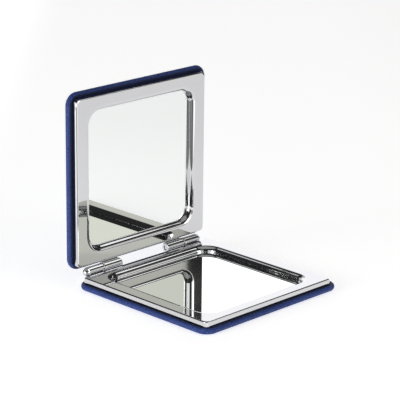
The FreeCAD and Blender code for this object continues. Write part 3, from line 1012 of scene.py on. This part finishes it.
def studio_room(world):
    """Room round the table: a dark room with light panels, each a range of swing and of tilt.

    Swing is the arctangent of the direction's parts to the camera's right and ahead, tilt the
    arcsine of its height. Each panel adds its brightness where both lie in its ranges.
    """
    world.use_nodes = True
    tree = world.node_tree
    tree.nodes.clear()
    way = add_node(tree, "ShaderNodeTexCoord").outputs["Generated"]
    ahead, right = (
        add_node(
            tree, "ShaderNodeVectorMath", {"operation": "DOT_PRODUCT"}, {0: way, 1: tuple(axis)}
        ).outputs["Value"]
        for axis in (AHEAD_WAY, RIGHT_WAY)
    )
    swing = add_node(
        tree, "ShaderNodeMath", {"operation": "ARCTAN2"}, {0: right, 1: ahead}
    ).outputs[0]
    height = add_node(tree, "ShaderNodeSeparateXYZ", None, {0: way}).outputs["Z"]
    tilt = add_node(tree, "ShaderNodeMath", {"operation": "ARCSINE"}, {0: height}).outputs[0]
    total = (ROOM_DARK,) * 3
    for left_edge, right_edge, low_edge, high_edge, brightness, colour in ROOM_PANELS.values():
        in_swing, in_tilt = (
            add_node(
                tree,
                "ShaderNodeMath",
                {"operation": "COMPARE"},
                {0: angle, 1: math.radians((low + high) / 2), 2: math.radians((high - low) / 2)},
            ).outputs[0]
            for angle, low, high in ((swing, left_edge, right_edge), (tilt, low_edge, high_edge))
        )
        both = add_node(
            tree, "ShaderNodeMath", {"operation": "MULTIPLY"}, {0: in_swing, 1: in_tilt}
        ).outputs[0]
        glow = tuple(brightness * value for value in to_linear(colour))
        total = add_node(
            tree,
            "ShaderNodeVectorMath",
            {"operation": "MULTIPLY_ADD"},
            {0: both, 1: glow, 2: total},
        ).outputs[0]
    light = add_node(tree, "ShaderNodeBackground", None, {"Color": total})
    add_node(tree, "ShaderNodeOutputWorld", None, {"Surface": light.outputs[0]})


# Light from below the table, and its changes: from and to in metres to the camera's right, and how
# much. It is even as far as the camera sees, falls off further right and grows further left.
TABLE_LIFT = 0.665
TABLE_CHANGES = ((0.06, 0.22, -0.075), (-0.08, -0.16, 0.35))

# The table's edges in metres from the object: towards the camera, away from it, and to each side
TABLE_FRONT, TABLE_BACK, TABLE_SIDE = 0.06, 1.5, 0.3


def white_light_table(colours):
    """White light table: a matt top with a tooth of 0.8 mm that takes the shadow, and light from
    below that lifts it to white."""
    material, tree = new_material("white_light_table")
    place = add_node(tree, "ShaderNodeTexCoord").outputs["Object"]
    tooth = add_node(
        tree, "ShaderNodeTexNoise", None, {"Vector": place, "Scale": 1 / (0.8 * MM)}
    )
    tint = add_node(
        tree,
        "ShaderNodeMix",
        {"data_type": "RGBA"},
        {"Factor": tooth.outputs[0], "A": rgba(colours.floor, 0.98), "B": rgba(colours.floor)},
    )
    matt = add_node(tree, "ShaderNodeBsdfDiffuse", None, {"Color": tint.outputs["Result"]})
    right = add_node(
        tree,
        "ShaderNodeVectorMath",
        {"operation": "DOT_PRODUCT"},
        {0: place, 1: tuple(RIGHT_WAY)},
    ).outputs["Value"]
    lift = TABLE_LIFT
    for near, far, change in TABLE_CHANGES:
        part = add_node(
            tree,
            "ShaderNodeMapRange",
            {"interpolation_type": "SMOOTHSTEP"},
            {"Value": right, "From Min": near, "From Max": far, "To Min": 0.0, "To Max": change},
        )
        lift = add_node(
            tree, "ShaderNodeMath", {"operation": "ADD"}, {0: part.outputs[0], 1: lift}
        ).outputs[0]
    glow = add_node(tree, "ShaderNodeEmission", None, {"Strength": lift})
    both = add_node(tree, "ShaderNodeAddShader", None, {0: matt.outputs[0], 1: glow.outputs[0]})
    add_node(tree, "ShaderNodeOutputMaterial", None, {"Surface": both.outputs[0]})
    return material


# Soft lamps: turn about the object and tilt in degrees, distance and side in metres, power in watts
LAMPS = {
    "left_softbox": (-100, 6, 0.6, 0.3, 1.9),
    "right_softbox": (20, 12, 0.7, 0.3, 0.8),
}
LAMP_AIM = np.array([0.0, 0.0, 0.02])


class POCKET_MIRROR_OT_stage(bpy.types.Operator):
    """White table, soft lamps, studio room and the photograph's camera"""

    bl_idname = "pocket_mirror.stage"
    bl_label = "Stage"

    def execute(self, context):
        scene = context.scene
        axes = camera_axes()
        # The table is square to the picture: the camera's right and ahead, laid level
        right, ahead = axes[0] * (1, 1, 0), -axes[2] * (1, 1, 0)
        right, ahead = (way / np.linalg.norm(way) for way in (right, ahead))
        across = np.array([-1, 1, 1, -1]) * TABLE_SIDE
        along = np.array([-TABLE_FRONT, -TABLE_FRONT, TABLE_BACK, TABLE_BACK])
        mesh = bpy.data.meshes.new("table")
        mesh.from_pydata(np.outer(across, right) + np.outer(along, ahead), [], [(0, 1, 2, 3)])
        mesh.materials.append(finish(white_light_table, context))
        table = bpy.data.objects.new("table", mesh)
        scene.collection.objects.link(table)
        for name, (turn, tilt, distance, side, power) in LAMPS.items():
            turn, tilt = math.radians(turn), math.radians(tilt)
            back = direction(turn, tilt)
            lamp = bpy.data.lights.new(name, "AREA")
            lamp.size = side
            lamp.energy = power
            holder = bpy.data.objects.new(name, lamp)
            holder.matrix_world = place_matrix(level_right(turn), back, LAMP_AIM + back * distance)
            scene.collection.objects.link(holder)
        world = bpy.data.worlds.new("studio_room")
        studio_room(world)
        scene.world = world
        lens = bpy.data.cameras.new("camera")
        lens.lens = FOCAL_PIXELS / PHOTO_WIDTH * SENSOR_WIDTH
        lens.sensor_width = SENSOR_WIDTH
        lens.clip_start = CLIP_START
        lens.clip_end = CLIP_END
        camera = bpy.data.objects.new("camera", lens)
        camera.matrix_world = place_matrix(axes[0], axes[2], axes.T @ CAMERA_PLACE)
        scene.collection.objects.link(camera)
        scene.camera = camera
        scene.view_settings.view_transform = "Standard"
        return {"FINISHED"}


class POCKET_MIRROR_PT_sidebar(bpy.types.Panel):
    """Sizes, colours and steps of the pocket mirror"""

    bl_idname = "POCKET_MIRROR_PT_sidebar"
    bl_label = "Pocket mirror"
    bl_space_type = "VIEW_3D"
    bl_region_type = "UI"
    bl_category = "Pocket mirror"

    def draw(self, context):
        for step in STEPS:
            self.layout.operator(step.bl_idname)
        for group in (context.scene.pocket_mirror_sizes, context.scene.pocket_mirror_colours):
            box = self.layout.box()
            for name in group.__annotations__:
                box.prop(group, name)


STEPS = (
    POCKET_MIRROR_OT_frames,
    POCKET_MIRROR_OT_mirrors,
    POCKET_MIRROR_OT_covers,
    POCKET_MIRROR_OT_knuckles,
    POCKET_MIRROR_OT_pins,
    POCKET_MIRROR_OT_insides,
    POCKET_MIRROR_OT_stage,
)
CLASSES = (PocketMirrorSizes, PocketMirrorColours) + STEPS + (POCKET_MIRROR_PT_sidebar,)


def register():
    """Make the classes known to Blender, and give the scene its sizes and colours."""
    for cls in CLASSES:
        bpy.utils.register_class(cls)
    bpy.types.Scene.pocket_mirror_sizes = bpy.props.PointerProperty(type=PocketMirrorSizes)
    bpy.types.Scene.pocket_mirror_colours = bpy.props.PointerProperty(type=PocketMirrorColours)


def unregister():
    """Take away what register added, in the opposite order."""
    del bpy.types.Scene.pocket_mirror_colours
    del bpy.types.Scene.pocket_mirror_sizes
    for cls in reversed(CLASSES):
        bpy.utils.unregister_class(cls)


def main():
    """Build every piece and the stage."""
    register()
    bpy.ops.pocket_mirror.frames()
    bpy.ops.pocket_mirror.mirrors()
    bpy.ops.pocket_mirror.covers()
    bpy.ops.pocket_mirror.knuckles()
    bpy.ops.pocket_mirror.pins()
    bpy.ops.pocket_mirror.insides()
    bpy.ops.pocket_mirror.stage()


if __name__ == "__main__":
    main()
